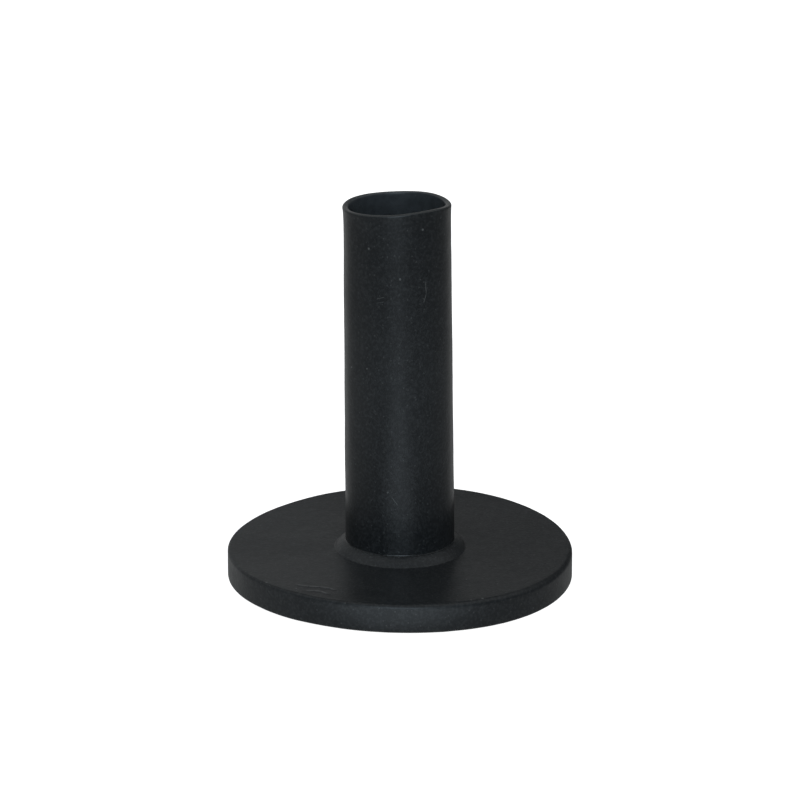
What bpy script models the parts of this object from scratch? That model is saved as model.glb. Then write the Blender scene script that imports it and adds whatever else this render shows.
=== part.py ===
"""A rubber range tee: a flat round base with a moulded collar, and the open rubber tube that stands in it.

Metres, +Z up. The origin is the middle of the underside, on the tube's axis.
"""

import math

import bpy

MM = 0.001

# Driving dimensions
OVERALL_HEIGHT = 58.0 * MM
BASE_RADIUS = 26.25 * MM
BASE_THICKNESS = 4.3 * MM
TOP_EDGE_ROUND = 0.6 * MM
BOTTOM_EDGE_ROUND = 0.3 * MM

COLLAR_HEIGHT = 1.1 * MM
COLLAR_FOOT_RADIUS = 10.0 * MM
COLLAR_FOOT_FILLET = 0.25 * MM
COLLAR_LAND = 0.3 * MM

TUBE_FOOT_RADIUS = 8.3 * MM
TUBE_LIP_RADIUS = 7.95 * MM
FOOT_WALL = 1.9 * MM
LIP_WALL = 0.8 * MM
LIP_ROUND = 0.25 * MM
FOOT_CHAMFER = 0.4 * MM

SOCKET_FLOOR = 1.3 * MM
CEMENT_GAP = 0.3 * MM

# Where the tube's root yields when the tube is struck: 15% of its free length above the collar
FLEX_POINT_SHARE = 0.15

SEGMENTS = 96
ROUND_STEPS = 4

# Worked out from the driving dimensions
COLLAR_TOP = BASE_THICKNESS + COLLAR_HEIGHT
SOCKET_RADIUS = TUBE_FOOT_RADIUS + CEMENT_GAP
TUBE_FOOT_Z = SOCKET_FLOOR + CEMENT_GAP
BORE_FOOT_RADIUS = TUBE_FOOT_RADIUS - FOOT_WALL
BORE_LIP_RADIUS = TUBE_LIP_RADIUS - LIP_WALL
FLEX_POINT_Z = COLLAR_TOP + FLEX_POINT_SHARE * (OVERALL_HEIGHT - COLLAR_TOP)

RUBBER_BLACK = (0.018, 0.019, 0.021, 1.0)


def clear_scene():
    for old in list(bpy.data.objects):
        bpy.data.objects.remove(old, do_unlink=True)


def rubber(name, roughness):
    """Black moulded rubber: no metal in it, with a dull sheen."""
    material = bpy.data.materials.new(name)
    material.use_nodes = True
    shader = material.node_tree.nodes["Principled BSDF"]
    shader.inputs["Base Color"].default_value = RUBBER_BLACK
    shader.inputs["Roughness"].default_value = roughness
    shader.inputs["Metallic"].default_value = 0.0
    return material


def arc(centre_r, centre_z, radius, start_deg, end_deg):
    """Points along a round, as (radius from the axis, height). 0 degrees points outwards and 90 up."""
    points = []
    for step in range(ROUND_STEPS + 1):
        angle = math.radians(start_deg + (end_deg - start_deg) * step / ROUND_STEPS)
        points.append((centre_r + radius * math.cos(angle), centre_z + radius * math.sin(angle)))
    return points


def base_outline():
    """The section of the base, from the collar's land down the outside and back up through the socket."""
    land = [(SOCKET_RADIUS, COLLAR_TOP), (SOCKET_RADIUS + COLLAR_LAND, COLLAR_TOP)]
    slope = math.atan2(COLLAR_HEIGHT, COLLAR_FOOT_RADIUS - SOCKET_RADIUS - COLLAR_LAND)
    reach = COLLAR_FOOT_FILLET * math.tan(slope / 2)
    foot = arc(
        COLLAR_FOOT_RADIUS + reach,
        BASE_THICKNESS + COLLAR_FOOT_FILLET,
        COLLAR_FOOT_FILLET,
        270 - math.degrees(slope),
        270,
    )
    top_edge = arc(BASE_RADIUS - TOP_EDGE_ROUND, BASE_THICKNESS - TOP_EDGE_ROUND, TOP_EDGE_ROUND, 90, 0)
    bottom_edge = arc(BASE_RADIUS - BOTTOM_EDGE_ROUND, BOTTOM_EDGE_ROUND, BOTTOM_EDGE_ROUND, 0, -90)
    hole = [(BORE_FOOT_RADIUS, 0.0), (BORE_FOOT_RADIUS, SOCKET_FLOOR), (SOCKET_RADIUS, SOCKET_FLOOR)]
    return land + foot + top_edge + bottom_edge + hole


def tube_outline():
    """The section of the tube, from its lip down the outside, round the foot and back up the bore."""
    lip_outer = arc(TUBE_LIP_RADIUS - LIP_ROUND, OVERALL_HEIGHT - LIP_ROUND, LIP_ROUND, 90, 0)
    outside = [(TUBE_FOOT_RADIUS, COLLAR_TOP), (TUBE_FOOT_RADIUS, TUBE_FOOT_Z + FOOT_CHAMFER)]
    foot = [(TUBE_FOOT_RADIUS - FOOT_CHAMFER, TUBE_FOOT_Z), (BORE_FOOT_RADIUS, TUBE_FOOT_Z)]
    lip_inner = arc(BORE_LIP_RADIUS + LIP_ROUND, OVERALL_HEIGHT - LIP_ROUND, LIP_ROUND, 180, 90)
    return lip_outer + outside + foot + lip_inner


def turned(name, outline, material, pivot_z=0.0):
    """A closed outline turned about the Z axis, with its origin on that axis at pivot_z."""
    mesh = bpy.data.meshes.new(name)
    corners = [(r, 0.0, z - pivot_z) for r, z in outline]
    edges = [(i, (i + 1) % len(corners)) for i in range(len(corners))]
    mesh.from_pydata(corners, edges, [])
    mesh.materials.append(material)
    piece = bpy.data.objects.new(name, mesh)
    bpy.context.scene.collection.objects.link(piece)
    screw = piece.modifiers.new("turn", "SCREW")
    screw.axis = "Z"
    screw.angle = math.tau
    screw.steps = SEGMENTS
    screw.render_steps = SEGMENTS
    screw.use_merge_vertices = True
    screw.merge_threshold = 0.00001
    screw.use_smooth_shade = True
    return piece


def main():
    clear_scene()
    turned("base_flange", base_outline(), rubber("base_rubber", 0.5))
    tube = turned("tee_tube", tube_outline(), rubber("tube_rubber", 0.4), pivot_z=FLEX_POINT_Z)

    flex_point = bpy.data.objects.new("tube_flex_axis", None)
    flex_point.empty_display_size = BASE_RADIUS
    bpy.context.scene.collection.objects.link(flex_point)
    flex_point.location.z = FLEX_POINT_Z
    tube.parent = flex_point


main()
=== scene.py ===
# %% [markdown]
# # A rubber range tee
# This is the short black tee that stands under the hole of a driving-range mat: a flat round base with a
# low conical collar, and an open rubber tube whose lip carries the ball. A measured model already says where
# both pieces are and how the tube bends. This file makes what is seen: the moulded surfaces and the rubber
# on them.

# %% Load the measured model
import math

import bpy
import numpy as np
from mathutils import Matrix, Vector, noise


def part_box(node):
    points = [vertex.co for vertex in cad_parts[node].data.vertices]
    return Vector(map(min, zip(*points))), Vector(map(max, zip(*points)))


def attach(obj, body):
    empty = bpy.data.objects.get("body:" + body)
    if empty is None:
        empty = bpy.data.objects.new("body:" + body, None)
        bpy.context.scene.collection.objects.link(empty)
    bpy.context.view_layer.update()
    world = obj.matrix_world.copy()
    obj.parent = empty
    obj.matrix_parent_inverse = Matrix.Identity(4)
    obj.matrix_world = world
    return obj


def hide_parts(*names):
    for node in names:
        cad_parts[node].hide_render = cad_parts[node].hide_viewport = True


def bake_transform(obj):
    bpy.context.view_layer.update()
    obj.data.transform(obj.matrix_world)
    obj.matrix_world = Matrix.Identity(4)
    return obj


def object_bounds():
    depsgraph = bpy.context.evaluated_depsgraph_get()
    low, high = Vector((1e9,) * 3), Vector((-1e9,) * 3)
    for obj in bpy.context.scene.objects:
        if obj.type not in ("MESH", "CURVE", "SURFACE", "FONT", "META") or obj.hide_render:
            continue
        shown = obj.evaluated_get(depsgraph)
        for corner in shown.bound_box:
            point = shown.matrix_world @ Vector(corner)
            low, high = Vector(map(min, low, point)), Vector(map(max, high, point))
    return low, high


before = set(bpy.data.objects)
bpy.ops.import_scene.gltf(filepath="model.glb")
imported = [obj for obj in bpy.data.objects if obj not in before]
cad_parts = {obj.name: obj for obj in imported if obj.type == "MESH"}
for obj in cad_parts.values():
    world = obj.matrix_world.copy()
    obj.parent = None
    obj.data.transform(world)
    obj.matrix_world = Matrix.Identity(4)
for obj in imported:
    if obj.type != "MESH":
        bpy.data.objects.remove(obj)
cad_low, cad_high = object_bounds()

# %% [markdown]
# ## Sizes
# Everything that already has a size is read from the measured model, so nothing has to be fitted later. Only
# what is too fine for that model, such as how worn an edge is, gets a number of its own, next to its use.

# %% Read the driving sizes
MM = 0.001
base_low, base_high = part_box("base_flange")
tube_low, tube_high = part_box("tee_tube")
BASE_RADIUS = base_high.x
BASE_THICKNESS = 4.3 * MM
COLLAR_TOP = base_high.z
TUBE_FOOT_RADIUS = tube_high.x
TUBE_FOOT_Z = tube_low.z
HEIGHT = cad_high.z
print(f"base {2 * BASE_RADIUS / MM:.1f} mm across, collar top at {COLLAR_TOP / MM:.2f} mm")
print(f"height {HEIGHT / MM:.1f} mm")

# %% [markdown]
# ## Turning a section
# Both pieces came out of a turned mould, so each is one closed outline carried round the axis. Blender's
# Screw modifier does that when the outline is the same all the way round. Here an edge is sharper on one side
# than on the other, so the outline is a function of the angle, and the grid of points it gives is joined
# into quads.

# %% Helpers for an outline
def run(start, end, count):
    """Evenly spaced points from start towards end, with end itself left to the next stretch."""
    return [
        (start[0] + (end[0] - start[0]) * i / count, start[1] + (end[1] - start[1]) * i / count)
        for i in range(count)
    ]


def arc(centre, radius, first, last, count):
    """Points on a round, from the first angle to the last, in degrees. 0 points outwards and 90 up."""
    angles = [math.radians(first + (last - first) * i / count) for i in range(count + 1)]
    return [(centre[0] + radius * math.cos(a), centre[1] + radius * math.sin(a)) for a in angles]


def smooth_step(low, high, value):
    """0 below low and 1 above high, with no kink between them."""
    share = np.clip((value - low) / (high - low), 0, 1)
    return share * share * (3 - 2 * share)


# %% Turn an outline into a closed mesh
def turned(name, outline_at, around, reshape):
    """Carries outline_at(angle) round the Z axis, lets reshape move the points, and joins them into quads."""
    angles = [math.tau * i / around for i in range(around)]
    grid = np.array([[(r * math.cos(a), r * math.sin(a), z) for r, z in outline_at(a)] for a in angles])
    grid = reshape(grid)
    rows = grid.shape[1]
    faces = []
    for column in range(around):
        here = column * rows
        beside = (column + 1) % around * rows
        for row in range(rows):
            below = (row + 1) % rows
            faces.append((here + row, here + below, beside + below, beside + row))
    mesh = bpy.data.meshes.new(name)
    mesh.from_pydata(grid.reshape(-1, 3).tolist(), [], faces)
    mesh.shade_smooth()
    mesh.set_sharp_from_angle(angle=math.radians(50))
    piece = bpy.data.objects.new(name, mesh)
    bpy.context.scene.collection.objects.link(piece)
    print(f"{name}: {len(mesh.vertices)} points, {len(mesh.polygons)} quads")
    return piece


# %% [markdown]
# ## Unevenness
# Moulded rubber is never as true as its drawing. It shrinks a little differently from place to place, which
# shows as soft waves in the reflections. Moving every point along its own normal by a smooth noise does this,
# and it works on any shape. The waves are a few hundredths of a millimetre high, too small to change a size.

# %% Waves in a moulded surface
WAVES = [(0.05 * MM, 8 * MM), (0.014 * MM, 1.7 * MM)]


def make_uneven(piece, waves):
    """Moves each point along its normal. waves lists (height, width) pairs, in metres."""
    mesh = piece.data
    normals = [n.vector.copy() for n in mesh.vertex_normals]
    highest = 0.0
    for vertex, normal in zip(mesh.vertices, normals):
        amount = sum(height * noise.noise(vertex.co / width) for height, width in waves)
        vertex.co += normal * amount
        highest = max(highest, abs(amount))
    print(f"{piece.name}: waves up to {highest / MM:.3f} mm")


# %% [markdown]
# ## Rest places for the patterns
# The tube bends when it is struck. A pattern that read the bent points would swim over the rubber, so each
# point keeps a copy of where it was made, and the materials read that copy. Two more values say how much a
# point faces the axis, which is 1 in the bore, and how much it faces up, which on the tube is 1 on the lip.
# The materials use them for painted light: the bore is painted paler for the light that falls into it, and
# the lip's top paler for the sheen along it.

# %% Keep each point's place
def keep_places(piece):
    mesh = piece.data
    places = np.array([v.co for v in mesh.vertices])
    normals = np.array([n.vector for n in mesh.vertex_normals])
    outwards = places[:, :2] / np.linalg.norm(places[:, :2], axis=1, keepdims=True)
    inward = np.clip(-np.sum(normals[:, :2] * outwards, axis=1), 0, 1)
    kept = mesh.attributes.new("rest_place", "FLOAT_VECTOR", "POINT")
    kept.data.foreach_set("vector", places.ravel())
    for name, values in (("inward", inward), ("upward", np.clip(normals[:, 2], 0, 1))):
        facing = mesh.attributes.new(name, "FLOAT", "POINT")
        facing.data.foreach_set("value", values)


# %% [markdown]
# ## How the base has bowed
# A rubber disc this thin takes a set in its bag. This one has bowed by a third of a millimetre: it touches
# the floor at two opposite places and lifts a little between them. A bow across a disc is a cosine of twice
# the angle that grows with the square of the radius, so it needs only a height and a direction.

# %% The bow
BOW = 0.35 * MM
BOW_HIGH_AT = math.radians(67.5)


def lift_of(x, y):
    """How far the bowed base stands above where a true one would be."""
    share = (x * x + y * y) / BASE_RADIUS**2
    return BOW * (1 + share * np.cos(2 * (np.arctan2(y, x) - BOW_HIGH_AT)))


low_at = BOW_HIGH_AT - math.pi / 2
low_rim = lift_of(BASE_RADIUS * math.cos(low_at), BASE_RADIUS * math.sin(low_at))
print(f"bow {BOW / MM:.2f} mm, lowest rim point {low_rim / MM:.2f} mm up")

# %% [markdown]
# ## The base
# The outline runs over the collar, along the top, round the outer edge, back under the disc and up through
# the hole and the socket. Its top edge is crisp on one side and soft on the side that has rubbed in the mat,
# so the round of that edge changes with the angle.

# %% The outline of the base
COLLAR_FOOT_RADIUS = 10.0 * MM
COLLAR_LAND = 0.06 * MM
COLLAR_BULGE = 0.12 * MM
FOOT_FILLET = 0.2 * MM
TOP_DISH = 0.2 * MM
CRISP_EDGE = 0.35 * MM
WORN_EDGE = 0.75 * MM
WORN_SIDE = math.radians(-40)
BOTTOM_EDGE = 0.25 * MM
BORE_FOOT_RADIUS = 6.4 * MM
SOCKET_FLOOR = 1.3 * MM
SOCKET_RADIUS = TUBE_FOOT_RADIUS + 0.05 * MM
COLLAR_FALL = COLLAR_TOP - BASE_THICKNESS + TOP_DISH
COLLAR_SLOPE = math.atan2(COLLAR_FALL, COLLAR_FOOT_RADIUS - SOCKET_RADIUS - COLLAR_LAND)


def base_outline(angle):
    worn = 0.5 + 0.5 * math.cos(angle - WORN_SIDE)
    edge = CRISP_EDGE + (WORN_EDGE - CRISP_EDGE) * worn**2
    floor = BASE_THICKNESS - TOP_DISH
    land = (SOCKET_RADIUS + COLLAR_LAND, COLLAR_TOP)
    fillet_r = COLLAR_FOOT_RADIUS + FOOT_FILLET * math.tan(COLLAR_SLOPE / 2)
    foot = arc((fillet_r, floor + FOOT_FILLET), FOOT_FILLET, 270 - math.degrees(COLLAR_SLOPE), 270, 5)
    face = run(land, foot[0], 12)
    bulged = []
    for i, (r, z) in enumerate(face):
        out = COLLAR_BULGE * math.sin(math.pi * i / len(face))
        bulged.append((r + out * math.sin(COLLAR_SLOPE), z + out * math.cos(COLLAR_SLOPE)))
    top_end = (BASE_RADIUS - edge, BASE_THICKNESS)
    wall_end = (BASE_RADIUS, BOTTOM_EDGE)
    hole_edge = (BORE_FOOT_RADIUS, 0.0)
    ledge = (BORE_FOOT_RADIUS, SOCKET_FLOOR)
    seat = (SOCKET_RADIUS, SOCKET_FLOOR)
    return (
        run((SOCKET_RADIUS, COLLAR_TOP), land, 3)
        + bulged
        + foot[:-1]
        + run(foot[-1], top_end, 130)
        + arc((BASE_RADIUS - edge, BASE_THICKNESS - edge), edge, 90, 0, 10)[:-1]
        + run((BASE_RADIUS, BASE_THICKNESS - edge), wall_end, 16)
        + arc((BASE_RADIUS - BOTTOM_EDGE, BOTTOM_EDGE), BOTTOM_EDGE, 0, -90, 5)[:-1]
        + run((BASE_RADIUS - BOTTOM_EDGE, 0.0), hole_edge, 40)
        + run(hole_edge, ledge, 4)
        + run(ledge, seat, 4)
        + run(seat, (SOCKET_RADIUS, COLLAR_TOP), 8)
    )


print(f"base outline: {len(base_outline(0.0))} points")

# %% [markdown]
# ## Flow marks on the base
# Near the edge, where two streams of rubber met in the mould, the top has two short raised wrinkles. Each is
# a low ridge along a bent line. A point is raised by how close it is to that line, so the ridge has soft
# sides and round ends. The material also paints the skin over each ridge paler along the same lines, a
# painted highlight where the ridges catch the light.

# %% Raise the wrinkles
WRINKLE_HEIGHT = 0.07 * MM
WRINKLE_WIDTH = 0.19 * MM
WRINKLES = [
    [(23.3, -130.3), (22.8, -126.0), (22.0, -122.3), (21.7, -118.2), (22.0, -115.8)],
    [(24.6, -124.2), (23.9, -121.7), (23.6, -119.4), (24.0, -116.2)],
]


def raise_wrinkles(grid):
    """Adds the low ridges to the points of the base's top face."""
    flat = grid[..., :2]
    on_top = grid[..., 2] > 0.9 * BASE_THICKNESS
    for wrinkle in WRINKLES:
        turns = [math.radians(turn) for _, turn in wrinkle]
        bends = [
            np.array([radius * MM * math.cos(turn), radius * MM * math.sin(turn)])
            for (radius, _), turn in zip(wrinkle, turns)
        ]
        nearest = np.full(grid.shape[:2], np.inf)
        for a, b in zip(bends, bends[1:]):
            along = np.clip(((flat - a) @ (b - a)) / ((b - a) @ (b - a)), 0, 1)
            gap = np.linalg.norm(flat - (a + along[..., None] * (b - a)), axis=-1)
            nearest = np.minimum(nearest, gap)
        grid[..., 2] += on_top * WRINKLE_HEIGHT * np.exp(-((nearest / WRINKLE_WIDTH) ** 2))
    return grid


# %% Make the base
def shape_base(grid):
    grid = raise_wrinkles(grid)
    grid[..., 2] += lift_of(grid[..., 0], grid[..., 1])
    return grid


base = turned("tee_base", base_outline, 360, shape_base)
make_uneven(base, WAVES)
keep_places(base)

# %% [markdown]
# ## The tube
# The tube is a plain wall that thins towards its lip, inside and out. The lip was trimmed by hand after
# moulding, so it isn't quite level: its height goes up and down round the rim, which a small rise and four
# cosines describe. The tube also leans by half a degree, and the lip curls outwards a little on both sides,
# more on one than on the other.

# %% The outline of the tube
LIP_RADIUS = 7.95 * MM
LIP_WALL = 0.8 * MM
LIP_ROUND = 0.3 * MM
FOOT_CHAMFER = 0.4 * MM


def tube_outline(angle):
    wall = LIP_WALL * (1 + 0.14 * math.cos(2 * angle))
    bore = LIP_RADIUS - wall
    rim = HEIGHT - LIP_ROUND
    crease = (TUBE_FOOT_RADIUS, COLLAR_TOP)
    foot_side = (TUBE_FOOT_RADIUS, TUBE_FOOT_Z + FOOT_CHAMFER)
    foot_outer = (TUBE_FOOT_RADIUS - FOOT_CHAMFER, TUBE_FOOT_Z)
    foot_inner = (BORE_FOOT_RADIUS, TUBE_FOOT_Z)
    return (
        arc((LIP_RADIUS - LIP_ROUND, rim), LIP_ROUND, 90, 0, 6)[:-1]
        + run((LIP_RADIUS, rim), crease, 190)
        + run(crease, foot_side, 8)
        + run(foot_side, foot_outer, 2)
        + run(foot_outer, foot_inner, 5)
        + run(foot_inner, (bore, rim), 120)
        + arc((bore + LIP_ROUND, rim), LIP_ROUND, 180, 90, 6)[:-1]
        + run((bore + LIP_ROUND, HEIGHT), (LIP_RADIUS - LIP_ROUND, HEIGHT), 4)
    )


print(f"tube outline: {len(tube_outline(0.0))} points")

# %% The lean, the curl and the uneven lip
LEAN = 0.43 * MM
CURL = 0.2 * MM
CURL_DEPTH = 0.8 * MM
TRIM_DEPTH = 7 * MM
LIP_RISE = 0.17 * MM
LIP_COSINES = [(1, 0.275, -21), (2, 0.156, -148), (3, 0.086, 159), (4, 0.06, 180)]


def shape_tube(grid):
    angle = np.arctan2(grid[..., 1], grid[..., 0])
    height = grid[..., 2].copy()
    up = np.clip((height - COLLAR_TOP) / (HEIGHT - COLLAR_TOP), 0, 1)
    on_left = np.clip(-np.cos(angle), 0, 1)
    on_right = np.clip(np.cos(angle), 0, 1)
    curl = CURL * on_left**2 + 0.4 * CURL * on_right**4
    outwards = curl * np.exp((height - HEIGHT) / CURL_DEPTH)
    grid[..., 0] += outwards * np.cos(angle) - LEAN * up
    grid[..., 1] += outwards * np.sin(angle)
    trim = LIP_RISE
    for times_round, size, turn in LIP_COSINES:
        trim = trim + size * MM * np.cos(times_round * angle - math.radians(turn))
    grid[..., 2] += BOW * (1 - up) + trim * smooth_step(HEIGHT - TRIM_DEPTH, HEIGHT, height)
    return grid


tube = turned("tee_tube_wall", tube_outline, 288, shape_tube)
make_uneven(tube, WAVES)
keep_places(tube)

# %% [markdown]
# ## The cement line
# The foot of the tube is cemented into the collar. What squeezed out was wiped round with a finger, which
# left a fine hollow fillet. It is a thin ring: its face is part of a circle that leaves the tube upright and
# meets the collar at the collar's own slope, and its back lies hidden in the joint.

# %% Make the cement line
FILLET = 0.3 * MM
BURIED = 0.08 * MM


def fillet_outline(_angle):
    reach = FILLET * (1 - math.sin(COLLAR_SLOPE))
    centre = (TUBE_FOOT_RADIUS + FILLET, COLLAR_TOP + FILLET * math.cos(COLLAR_SLOPE))
    face = arc(centre, FILLET, 180, 270 - math.degrees(COLLAR_SLOPE), 10)
    outer = (TUBE_FOOT_RADIUS + reach, COLLAR_TOP)
    inner_r = TUBE_FOOT_RADIUS - BURIED
    back = [(outer[0] - BURIED, COLLAR_TOP - BURIED), (inner_r, COLLAR_TOP - BURIED)]
    return face + back + run((inner_r, COLLAR_TOP), (inner_r, centre[1]), 3)


def shape_fillet(grid):
    grid[..., 2] += BOW
    return grid


cement = turned("cement_line", fillet_outline, 240, shape_fillet)
make_uneven(cement, WAVES)
keep_places(cement)

# %% [markdown]
# ## Writing shader maths as expressions
# A material is easier to read as a formula than as a web of nodes. This small class wraps one socket and
# gives it Python's operators, each of which adds one Math node. The reflected forms let a plain number stand
# first.

# %% A socket with operators
def plug(tree, value, slot):
    """Links a socket's signal to the slot, or writes a plain value into it."""
    if isinstance(value, Signal):
        tree.links.new(value.socket, slot)
    else:
        slot.default_value = value


class Signal:
    def __init__(self, tree, socket):
        self.tree = tree
        self.socket = socket

    def maths(self, operation, first, second=0.0, clamp=False):
        node = self.tree.nodes.new("ShaderNodeMath")
        node.operation = operation
        node.use_clamp = clamp
        plug(self.tree, first, node.inputs[0])
        plug(self.tree, second, node.inputs[1])
        return Signal(self.tree, node.outputs[0])

    def __add__(self, other):
        return self.maths("ADD", self, other)

    def __radd__(self, other):
        return self.maths("ADD", other, self)

    def __sub__(self, other):
        return self.maths("SUBTRACT", self, other)

    def __rsub__(self, other):
        return self.maths("SUBTRACT", other, self)

    def __mul__(self, other):
        return self.maths("MULTIPLY", self, other)

    def __rmul__(self, other):
        return self.maths("MULTIPLY", other, self)

    def __pow__(self, other):
        return self.maths("POWER", self, other)

    def above(self, edge, softness):
        """0 well below edge and 1 well above it, rising over the softness."""
        return self.maths("MULTIPLY", self - (edge - softness / 2), 1 / softness, clamp=True)

    def most(self, other):
        return self.maths("MAXIMUM", self, other)


# %% A node tree that takes any other node
class Finish:
    """A material or a world, with one method that adds any node to it."""

    def __init__(self, owner):
        owner.use_nodes = True
        self.owner = owner
        self.tree = owner.node_tree

    def node(self, kind, settings=None, inputs=None, output=0):
        """Adds a node, sets its settings first and then its sockets, and gives back one of its outputs."""
        made = self.tree.nodes.new(kind)
        for name, value in (settings or {}).items():
            setattr(made, name, value)
        for name, value in (inputs or {}).items():
            plug(self.tree, value, made.inputs[name])
        return Signal(self.tree, made.outputs[output])

    def blend(self, share, first, second):
        """A colour between two colours: all of the first at 0 and all of the second at 1."""
        return self.node("ShaderNodeMix", {"data_type": "RGBA"}, {"Factor": share, 6: first, 7: second}, 2)

    def set(self, node_name, inputs):
        for name, value in inputs.items():
            plug(self.tree, value, self.tree.nodes[node_name].inputs[name])


print("operators ready:", [n for n in vars(Signal) if n.startswith("__") and n not in dir(object)])

# %% [markdown]
# ## Patterns that rubber needs
# Noise gives the mottling and the grain. Specks are the points of a Voronoi grid, most of them dropped by
# lottery. A mark is a round spot at a known place, and a scratch is the space close to a short straight line.
# Both come from the distance to a point or to a line, which Vector Math nodes work out from the kept place.

# %% Noise, marks and scratches
def place_of(finish):
    return finish.node("ShaderNodeAttribute", {"attribute_name": "rest_place"}, output="Vector")


def cloud(finish, place, width, detail=3.0, roughness=0.55, distortion=0.0):
    """Noise with patches of about this width, between 0 and 1."""
    inputs = {
        "Vector": place,
        "Scale": 1 / width,
        "Detail": detail,
        "Roughness": roughness,
        "Distortion": distortion,
    }
    return finish.node("ShaderNodeTexNoise", inputs=inputs, output="Fac")


def specks(finish, place, spacing, radius, kept):
    """Sparse round dots: one random point in each cell, of which only a share is kept."""
    cells = {"Vector": place, "Scale": 1 / spacing}
    distance = finish.node("ShaderNodeTexVoronoi", {"feature": "F1"}, cells, "Distance")
    colour = finish.node("ShaderNodeTexVoronoi", {"feature": "F1"}, cells, "Color")
    lottery = finish.node("ShaderNodeSeparateColor", inputs={"Color": colour}, output="Red")
    dot = 1 - distance.above(radius / spacing, 0.5 * radius / spacing)
    return dot * lottery.above(1 - kept, 0.01)


def mark(finish, place, where, radius):
    """A round spot at one place."""
    gap = finish.node("ShaderNodeVectorMath", {"operation": "DISTANCE"}, {0: place, 1: where}, "Value")
    return 1 - gap.above(radius, 0.8 * radius)


def scratch(finish, place, start, end, width):
    """The space close to the straight line from start to end."""
    start, along = Vector(start), Vector(end) - Vector(start)
    from_start = finish.node("ShaderNodeVectorMath", {"operation": "SUBTRACT"}, {0: place, 1: start})
    pair = {0: from_start, 1: along}
    dot = finish.node("ShaderNodeVectorMath", {"operation": "DOT_PRODUCT"}, pair, "Value")
    share = dot.maths("MULTIPLY", dot, 1 / along.length_squared, clamp=True)
    foot = finish.node("ShaderNodeVectorMath", {"operation": "SCALE"}, {0: along, "Scale": share})
    pair = {0: from_start, 1: foot}
    gap = finish.node("ShaderNodeVectorMath", {"operation": "DISTANCE"}, pair, "Value")
    fade = 1 - (share * 2 - 1) ** 6
    return (1 - gap.above(width, 0.8 * width)) * fade


# %% [markdown]
# ## Black rubber
# Rubber is black because of the soot in it, so hardly any light comes from below its surface. What the eye
# reads is the sheen: broad and soft where the skin is matt, tighter where it is smooth. The recipe is one
# dark colour with a grey bloom in patches, a roughness that varies with the same patches, and a fine grain
# as a bump. Dust and scratches lie over it, and so does painted light: a paler bore, a paler lip top, paler
# wrinkle ridges and grey patches that stand in for light and sheen.

# %% The rubber recipe
SOOT = (0.0095, 0.012, 0.0142, 1.0)
BLOOM = (0.045, 0.049, 0.052, 1.0)
# One pale grey is the colour of dust and scratches, and also of the painted sheen on the lip and the wrinkle
# ridges.
DUST_AND_SHEEN = (0.14, 0.145, 0.145, 1.0)
BORE_PAINTED_LIGHT = (0.066, 0.075, 0.083, 1.0)
BLOOM_SHARE = 0.28
FLECK_SHARE = 0.42
GRAIN_DEPTH = 0.04 * MM


def rubber(name, roughness, grain, spots, lines, dust_share, painted_light_patch=None, rim=0.0):
    finish = Finish(bpy.data.materials.new(name))
    place = place_of(finish)
    patches = cloud(finish, place, 6 * MM, detail=4)
    mottle = cloud(finish, place, 1.1 * MM, detail=3, roughness=0.6)
    fine = cloud(finish, place, 0.42 * MM, detail=2)
    bloom = (patches * 0.5 + mottle * 0.5).above(0.5, 0.4)
    dust = specks(finish, place, 1.6 * MM, 0.07 * MM, dust_share)
    for where, radius in spots:
        dust = dust.most(mark(finish, place, where, radius))
    scratches_and_ridge_sheen = None
    for start, end, width in lines:
        one = scratch(finish, place, start, end, width)
        scratches_and_ridge_sheen = one if scratches_and_ridge_sheen is None else scratches_and_ridge_sheen.most(one)
    inward = finish.node("ShaderNodeAttribute", {"attribute_name": "inward"}, output="Fac")
    upward = finish.node("ShaderNodeAttribute", {"attribute_name": "upward"}, output="Fac")
    greyness = bloom * BLOOM_SHARE + fine.above(0.54, 0.16) * FLECK_SHARE
    # Painted light: a grey patch that stands in for light or sheen on that part.
    if painted_light_patch is not None:
        where, reach, amount = painted_light_patch
        greyness = greyness + mark(finish, place, where, reach) * amount
    dust = dust.most(specks(finish, place, 0.6 * MM, 0.12 * MM, 0.3) * 0.3)
    # The wrinkle lines among the scratches are a painted highlight along the base's ridges.
    pale = dust if scratches_and_ridge_sheen is None else dust.most(scratches_and_ridge_sheen * 0.7)
    skin = finish.blend(greyness, SOOT, BLOOM)
    # Painted light: faces that look towards the axis, in the bore, are painted paler and mottled, for the
    # light that falls into it.
    skin = finish.blend(inward.above(0.3, 0.4) * (0.3 + mottle * 1.2), skin, BORE_PAINTED_LIGHT)
    # Painted sheen: where rim is above 0, faces that look up, such as the tube's lip top, are painted pale
    # grey.
    colour = finish.blend(pale.most(upward.above(0.4, 0.5) * rim), skin, DUST_AND_SHEEN)
    height = fine * grain + mottle * (1 - grain) + dust * 0.8
    relief = {"Strength": 1.0, "Distance": GRAIN_DEPTH, "Height": height}
    bump = finish.node("ShaderNodeBump", inputs=relief, output="Normal")
    finish.set(
        "Principled BSDF",
        {
            "Base Color": colour,
            "Roughness": roughness + (mottle - 0.5) * 0.16 + (patches - 0.5) * 0.1,
            "Normal": bump,
            "IOR": 1.5,
        },
    )
    print(f"{name}: {len(finish.tree.nodes)} nodes")
    return finish.owner


# %% Where the marks are
def on_tube(turn, height):
    """A place on the outside of the tube. turn is in degrees from the front, to the right."""
    up = (height * MM - COLLAR_TOP) / (HEIGHT - COLLAR_TOP)
    radius = TUBE_FOOT_RADIUS + (LIP_RADIUS - TUBE_FOOT_RADIUS) * up
    side = math.radians(turn)
    return (radius * math.sin(side) - LEAN * up, -radius * math.cos(side), height * MM)


def on_top(radius, angle):
    """A place on the top of the base."""
    turn = math.radians(angle)
    x, y = radius * MM * math.cos(turn), radius * MM * math.sin(turn)
    return (x, y, BASE_THICKNESS + float(lift_of(x, y)))


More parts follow.
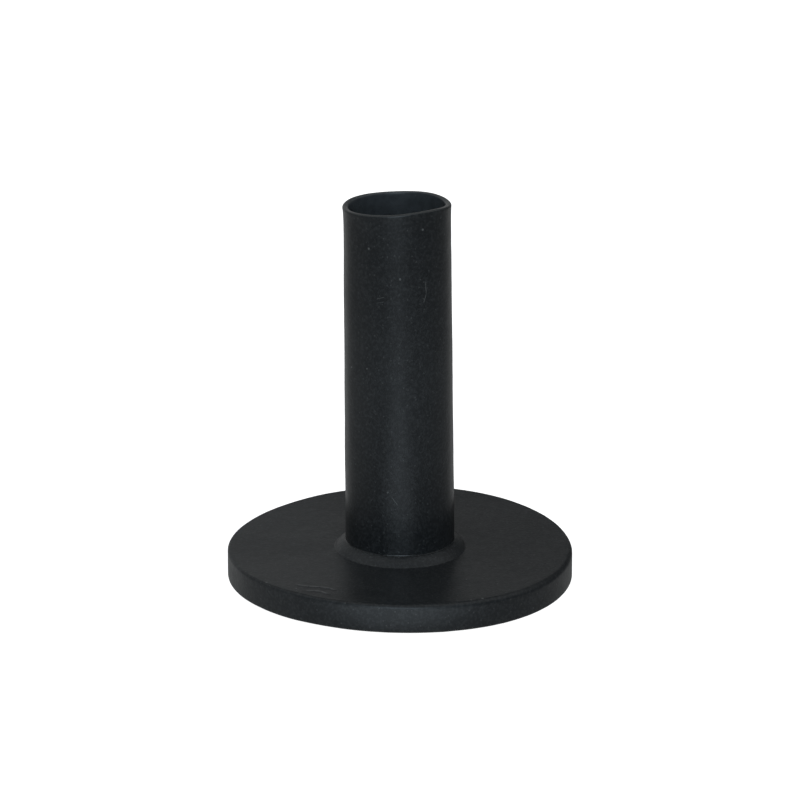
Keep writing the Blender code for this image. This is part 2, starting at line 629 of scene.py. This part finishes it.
tube_spots = [
    (on_tube(-31.5, 53.1), 0.16 * MM),
    (on_tube(2.7, 48.75), 0.14 * MM),
    (on_tube(-59, 34.2), 0.13 * MM),
    (on_tube(-35, 34.7), 0.12 * MM),
    (on_tube(-12.4, 15.8), 0.13 * MM),
    (on_tube(28, 56.0), 0.15 * MM),
]
tube_lines = [
    (on_tube(30.5, 48.2), on_tube(31.4, 46.2), 0.07 * MM),
    (on_tube(31.4, 46.2), on_tube(28.0, 44.9), 0.07 * MM),
    (on_tube(-23, 45.6), on_tube(-14, 46.0), 0.06 * MM),
    (on_tube(-23, 45.0), on_tube(-14, 45.3), 0.05 * MM),
    (on_tube(-8, 15.1), on_tube(-1.5, 13.8), 0.06 * MM),
]
base_spots = [
    (on_top(25.6, -62), 0.16 * MM),
    (on_top(25.5, -66), 0.15 * MM),
    (on_top(17.6, -56), 0.13 * MM),
    (on_top(14.7, -17), 0.13 * MM),
    (on_top(25.8, -139.7), 0.15 * MM),
    (on_top(24.6, -128.2), 0.14 * MM),
]
base_lines = []
# Painted highlight: each wrinkle's line is painted paler, where its ridge catches the light.
for wrinkle in WRINKLES:
    for start, end in zip(wrinkle, wrinkle[1:]):
        base_lines.append((on_top(*start), on_top(*end), 0.2 * MM))
base_lines += [
    (on_top(12.5, -75), on_top(13.6, -71), 0.05 * MM),
    (on_top(19.0, 160), on_top(21.5, 158), 0.05 * MM),
    (on_top(16.0, 20), on_top(17.5, 28), 0.05 * MM),
]

# Painted light: the base is painted greyer on its left, where more light falls on it, and the tube round its
# middle, where its sheen is brightest
LEFT_PAINTED_LIGHT = (on_top(21.0, 172), 21 * MM, 0.38)
# Painted sheen: the tube is painted greyer round its middle, for the brighter sheen there.
MIDDLE_PAINTED_SHEEN = ((0.0, 0.0, 31 * MM), 12 * MM, 0.22)
print(f"{len(tube_spots) + len(base_spots)} spots, {len(tube_lines) + len(base_lines)} lines")

# %% Give the pieces their rubber
base_skin = rubber("base_rubber_skin", 0.42, 0.8, base_spots, base_lines, 0.05, LEFT_PAINTED_LIGHT)
tube_skin = rubber("tube_rubber_skin", 0.33, 0.6, tube_spots, tube_lines, 0.04, MIDDLE_PAINTED_SHEEN, rim=0.3)
cement_skin = rubber("cement_skin", 0.2, 0.3, [], [], 0.0)
for piece, skin in ((base, base_skin), (tube, tube_skin), (cement, cement_skin)):
    piece.data.materials.append(skin)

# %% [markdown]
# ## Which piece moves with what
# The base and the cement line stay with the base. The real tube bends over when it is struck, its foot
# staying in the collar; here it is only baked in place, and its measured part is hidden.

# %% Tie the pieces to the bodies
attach(base, "base")
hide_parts("base_flange")
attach(cement, "base")
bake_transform(tube)
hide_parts("tee_tube")

# %% [markdown]
# ## Floor
# The tee stands on a plain pale floor. It glows by itself, which keeps it near white without the strong lamps
# that would wash out the black rubber. Only the camera sees it: in the sheen of the rubber its place is taken
# by the world below the horizon.

# %% Make the floor
FLOOR_SIZE = 6.0
floor_mesh = bpy.data.meshes.new("floor")
half = FLOOR_SIZE / 2
corners = [(-half, -half, 0), (half, -half, 0), (half, half, 0), (-half, half, 0)]
floor_mesh.from_pydata(corners, [], [(0, 1, 2, 3)])
floor = bpy.data.objects.new("floor", floor_mesh)
bpy.context.scene.collection.objects.link(floor)
floor.visible_glossy = False
floor.visible_diffuse = False
floor.visible_shadow = False
floor_finish = Finish(bpy.data.materials.new("pale_floor"))
floor_finish.set(
    "Principled BSDF",
    {
        "Base Color": (0.9, 0.9, 0.9, 1.0),
        "Roughness": 0.9,
        "Specular IOR Level": 0.0,
        "Emission Color": (1.0, 1.0, 1.0, 1.0),
        "Emission Strength": 1.0,
    },
)
floor_mesh.materials.append(floor_finish.owner)
print(f"floor {FLOOR_SIZE:.0f} m square")

# %% [markdown]
# ## Studio light
# The room is a soft dome of a few broad patches, each fading as a power of the cosine, so that none has an
# edge that would show in the sheen. Black rubber shows little but sheen, so each patch can be told by what it
# draws: the front window the soft light down the middle, and the low patches behind the bright edges.

# %% The dome
def towards(turn, rise):
    """A direction: turn in degrees from the front to the right, rise in degrees above the horizon."""
    turn, rise = math.radians(turn), math.radians(rise)
    return Vector((math.sin(turn) * math.cos(rise), -math.cos(turn) * math.cos(rise), math.sin(rise)))


PATCHES = [
    (towards(0, 90), 6, 0.43),
    (towards(0, -90), 1, 0.56),
    (towards(180, 5), 20, 0.37),
    (towards(-148, 15), 16, 0.37),
    (towards(-80, 5), 6, 0.1),
    (towards(-148, -15), 16, 0.21),
    (towards(148, -15), 16, 0.17),
    (towards(-90, 45), 8, 0.44),
    (towards(90, 45), 8, 0.49),
]
FRONT_WINDOW = (towards(0, 20), 20, 2.9)

world = bpy.data.worlds.new("studio")
bpy.context.scene.world = world
dome = Finish(world)
direction = dome.node("ShaderNodeTexCoord", output="Generated")


def patch(centre, tightness, strength):
    """One soft patch of light round a direction."""
    pair = {0: direction, 1: centre}
    dot = dome.node("ShaderNodeVectorMath", {"operation": "DOT_PRODUCT"}, pair, "Value")
    return dot.most(0.0) ** tightness * strength


front = patch(*FRONT_WINDOW)
brightness = front
for one in PATCHES:
    brightness = brightness + patch(*one)
tint = dome.blend(front.above(0.5, 1.0), (0.98, 1.0, 1.0, 1.0), (0.83, 0.98, 1.1, 1.0))
dome.set("Background", {"Color": tint, "Strength": brightness})
print(f"dome: {len(PATCHES) + 1} patches, {len(dome.tree.nodes)} nodes")

# %% [markdown]
# ## The floor in front
# Straight in front, the sheen of the tube and of the base's edge shows the pale floor between them and the
# camera. That floor is a real place close by, not far off like the dome, so its reflection sits at one
# height. Two lamps lying on the floor and shining upwards stand in for it.

# %% A glow from the floor in front
GLOWS = [
    ("near_floor", 42 * MM, 40 * MM, 25 * MM, 0.6),
    ("far_floor", 85 * MM, 30 * MM, 50 * MM, 0.36),
]

for name, distance, width, depth, radiance in GLOWS:
    lamp = bpy.data.lights.new(name, "AREA")
    lamp.shape = "RECTANGLE"
    lamp.size = width
    lamp.size_y = depth
    lamp.energy = radiance * math.pi * width * depth
    lamp.color = (0.87, 0.98, 1.07)
    glow = bpy.data.objects.new(name, lamp)
    glow.location = (0, -distance, 0.5 * MM)
    glow.rotation_euler = (math.pi, 0, 0)
    glow.visible_camera = False
    bpy.context.scene.collection.objects.link(glow)
    print(f"{name}: {lamp.energy * 1000:.2f} mW")

# %% [markdown]
# ## Camera
# The camera looks down at the tee by eighteen degrees from about half a metre, with a long lens.

# %% Place the camera
CAMERA_DISTANCE = 475.5 * MM
CAMERA_ELEVATION = math.radians(17.785)
CAMERA_AIM = Vector((0.0, 0.0, 27.73 * MM))
CAMERA_LENS = 142.4

camera_data = bpy.data.cameras.new("camera")
camera_data.lens = CAMERA_LENS
camera_data.sensor_width = 36.0
camera_data.clip_start = 0.01
camera = bpy.data.objects.new("camera", camera_data)
bpy.context.scene.collection.objects.link(camera)
camera_back = Vector((0.0, -math.cos(CAMERA_ELEVATION), math.sin(CAMERA_ELEVATION)))
camera.location = CAMERA_AIM + camera_back * CAMERA_DISTANCE
camera.rotation_euler = camera_back.to_track_quat("Z", "Y").to_euler()
bpy.context.scene.camera = camera
bpy.context.scene.view_settings.view_transform = "Standard"
print("camera at", [round(v / MM, 1) for v in camera.location])

# %% [markdown]
# ## Finish
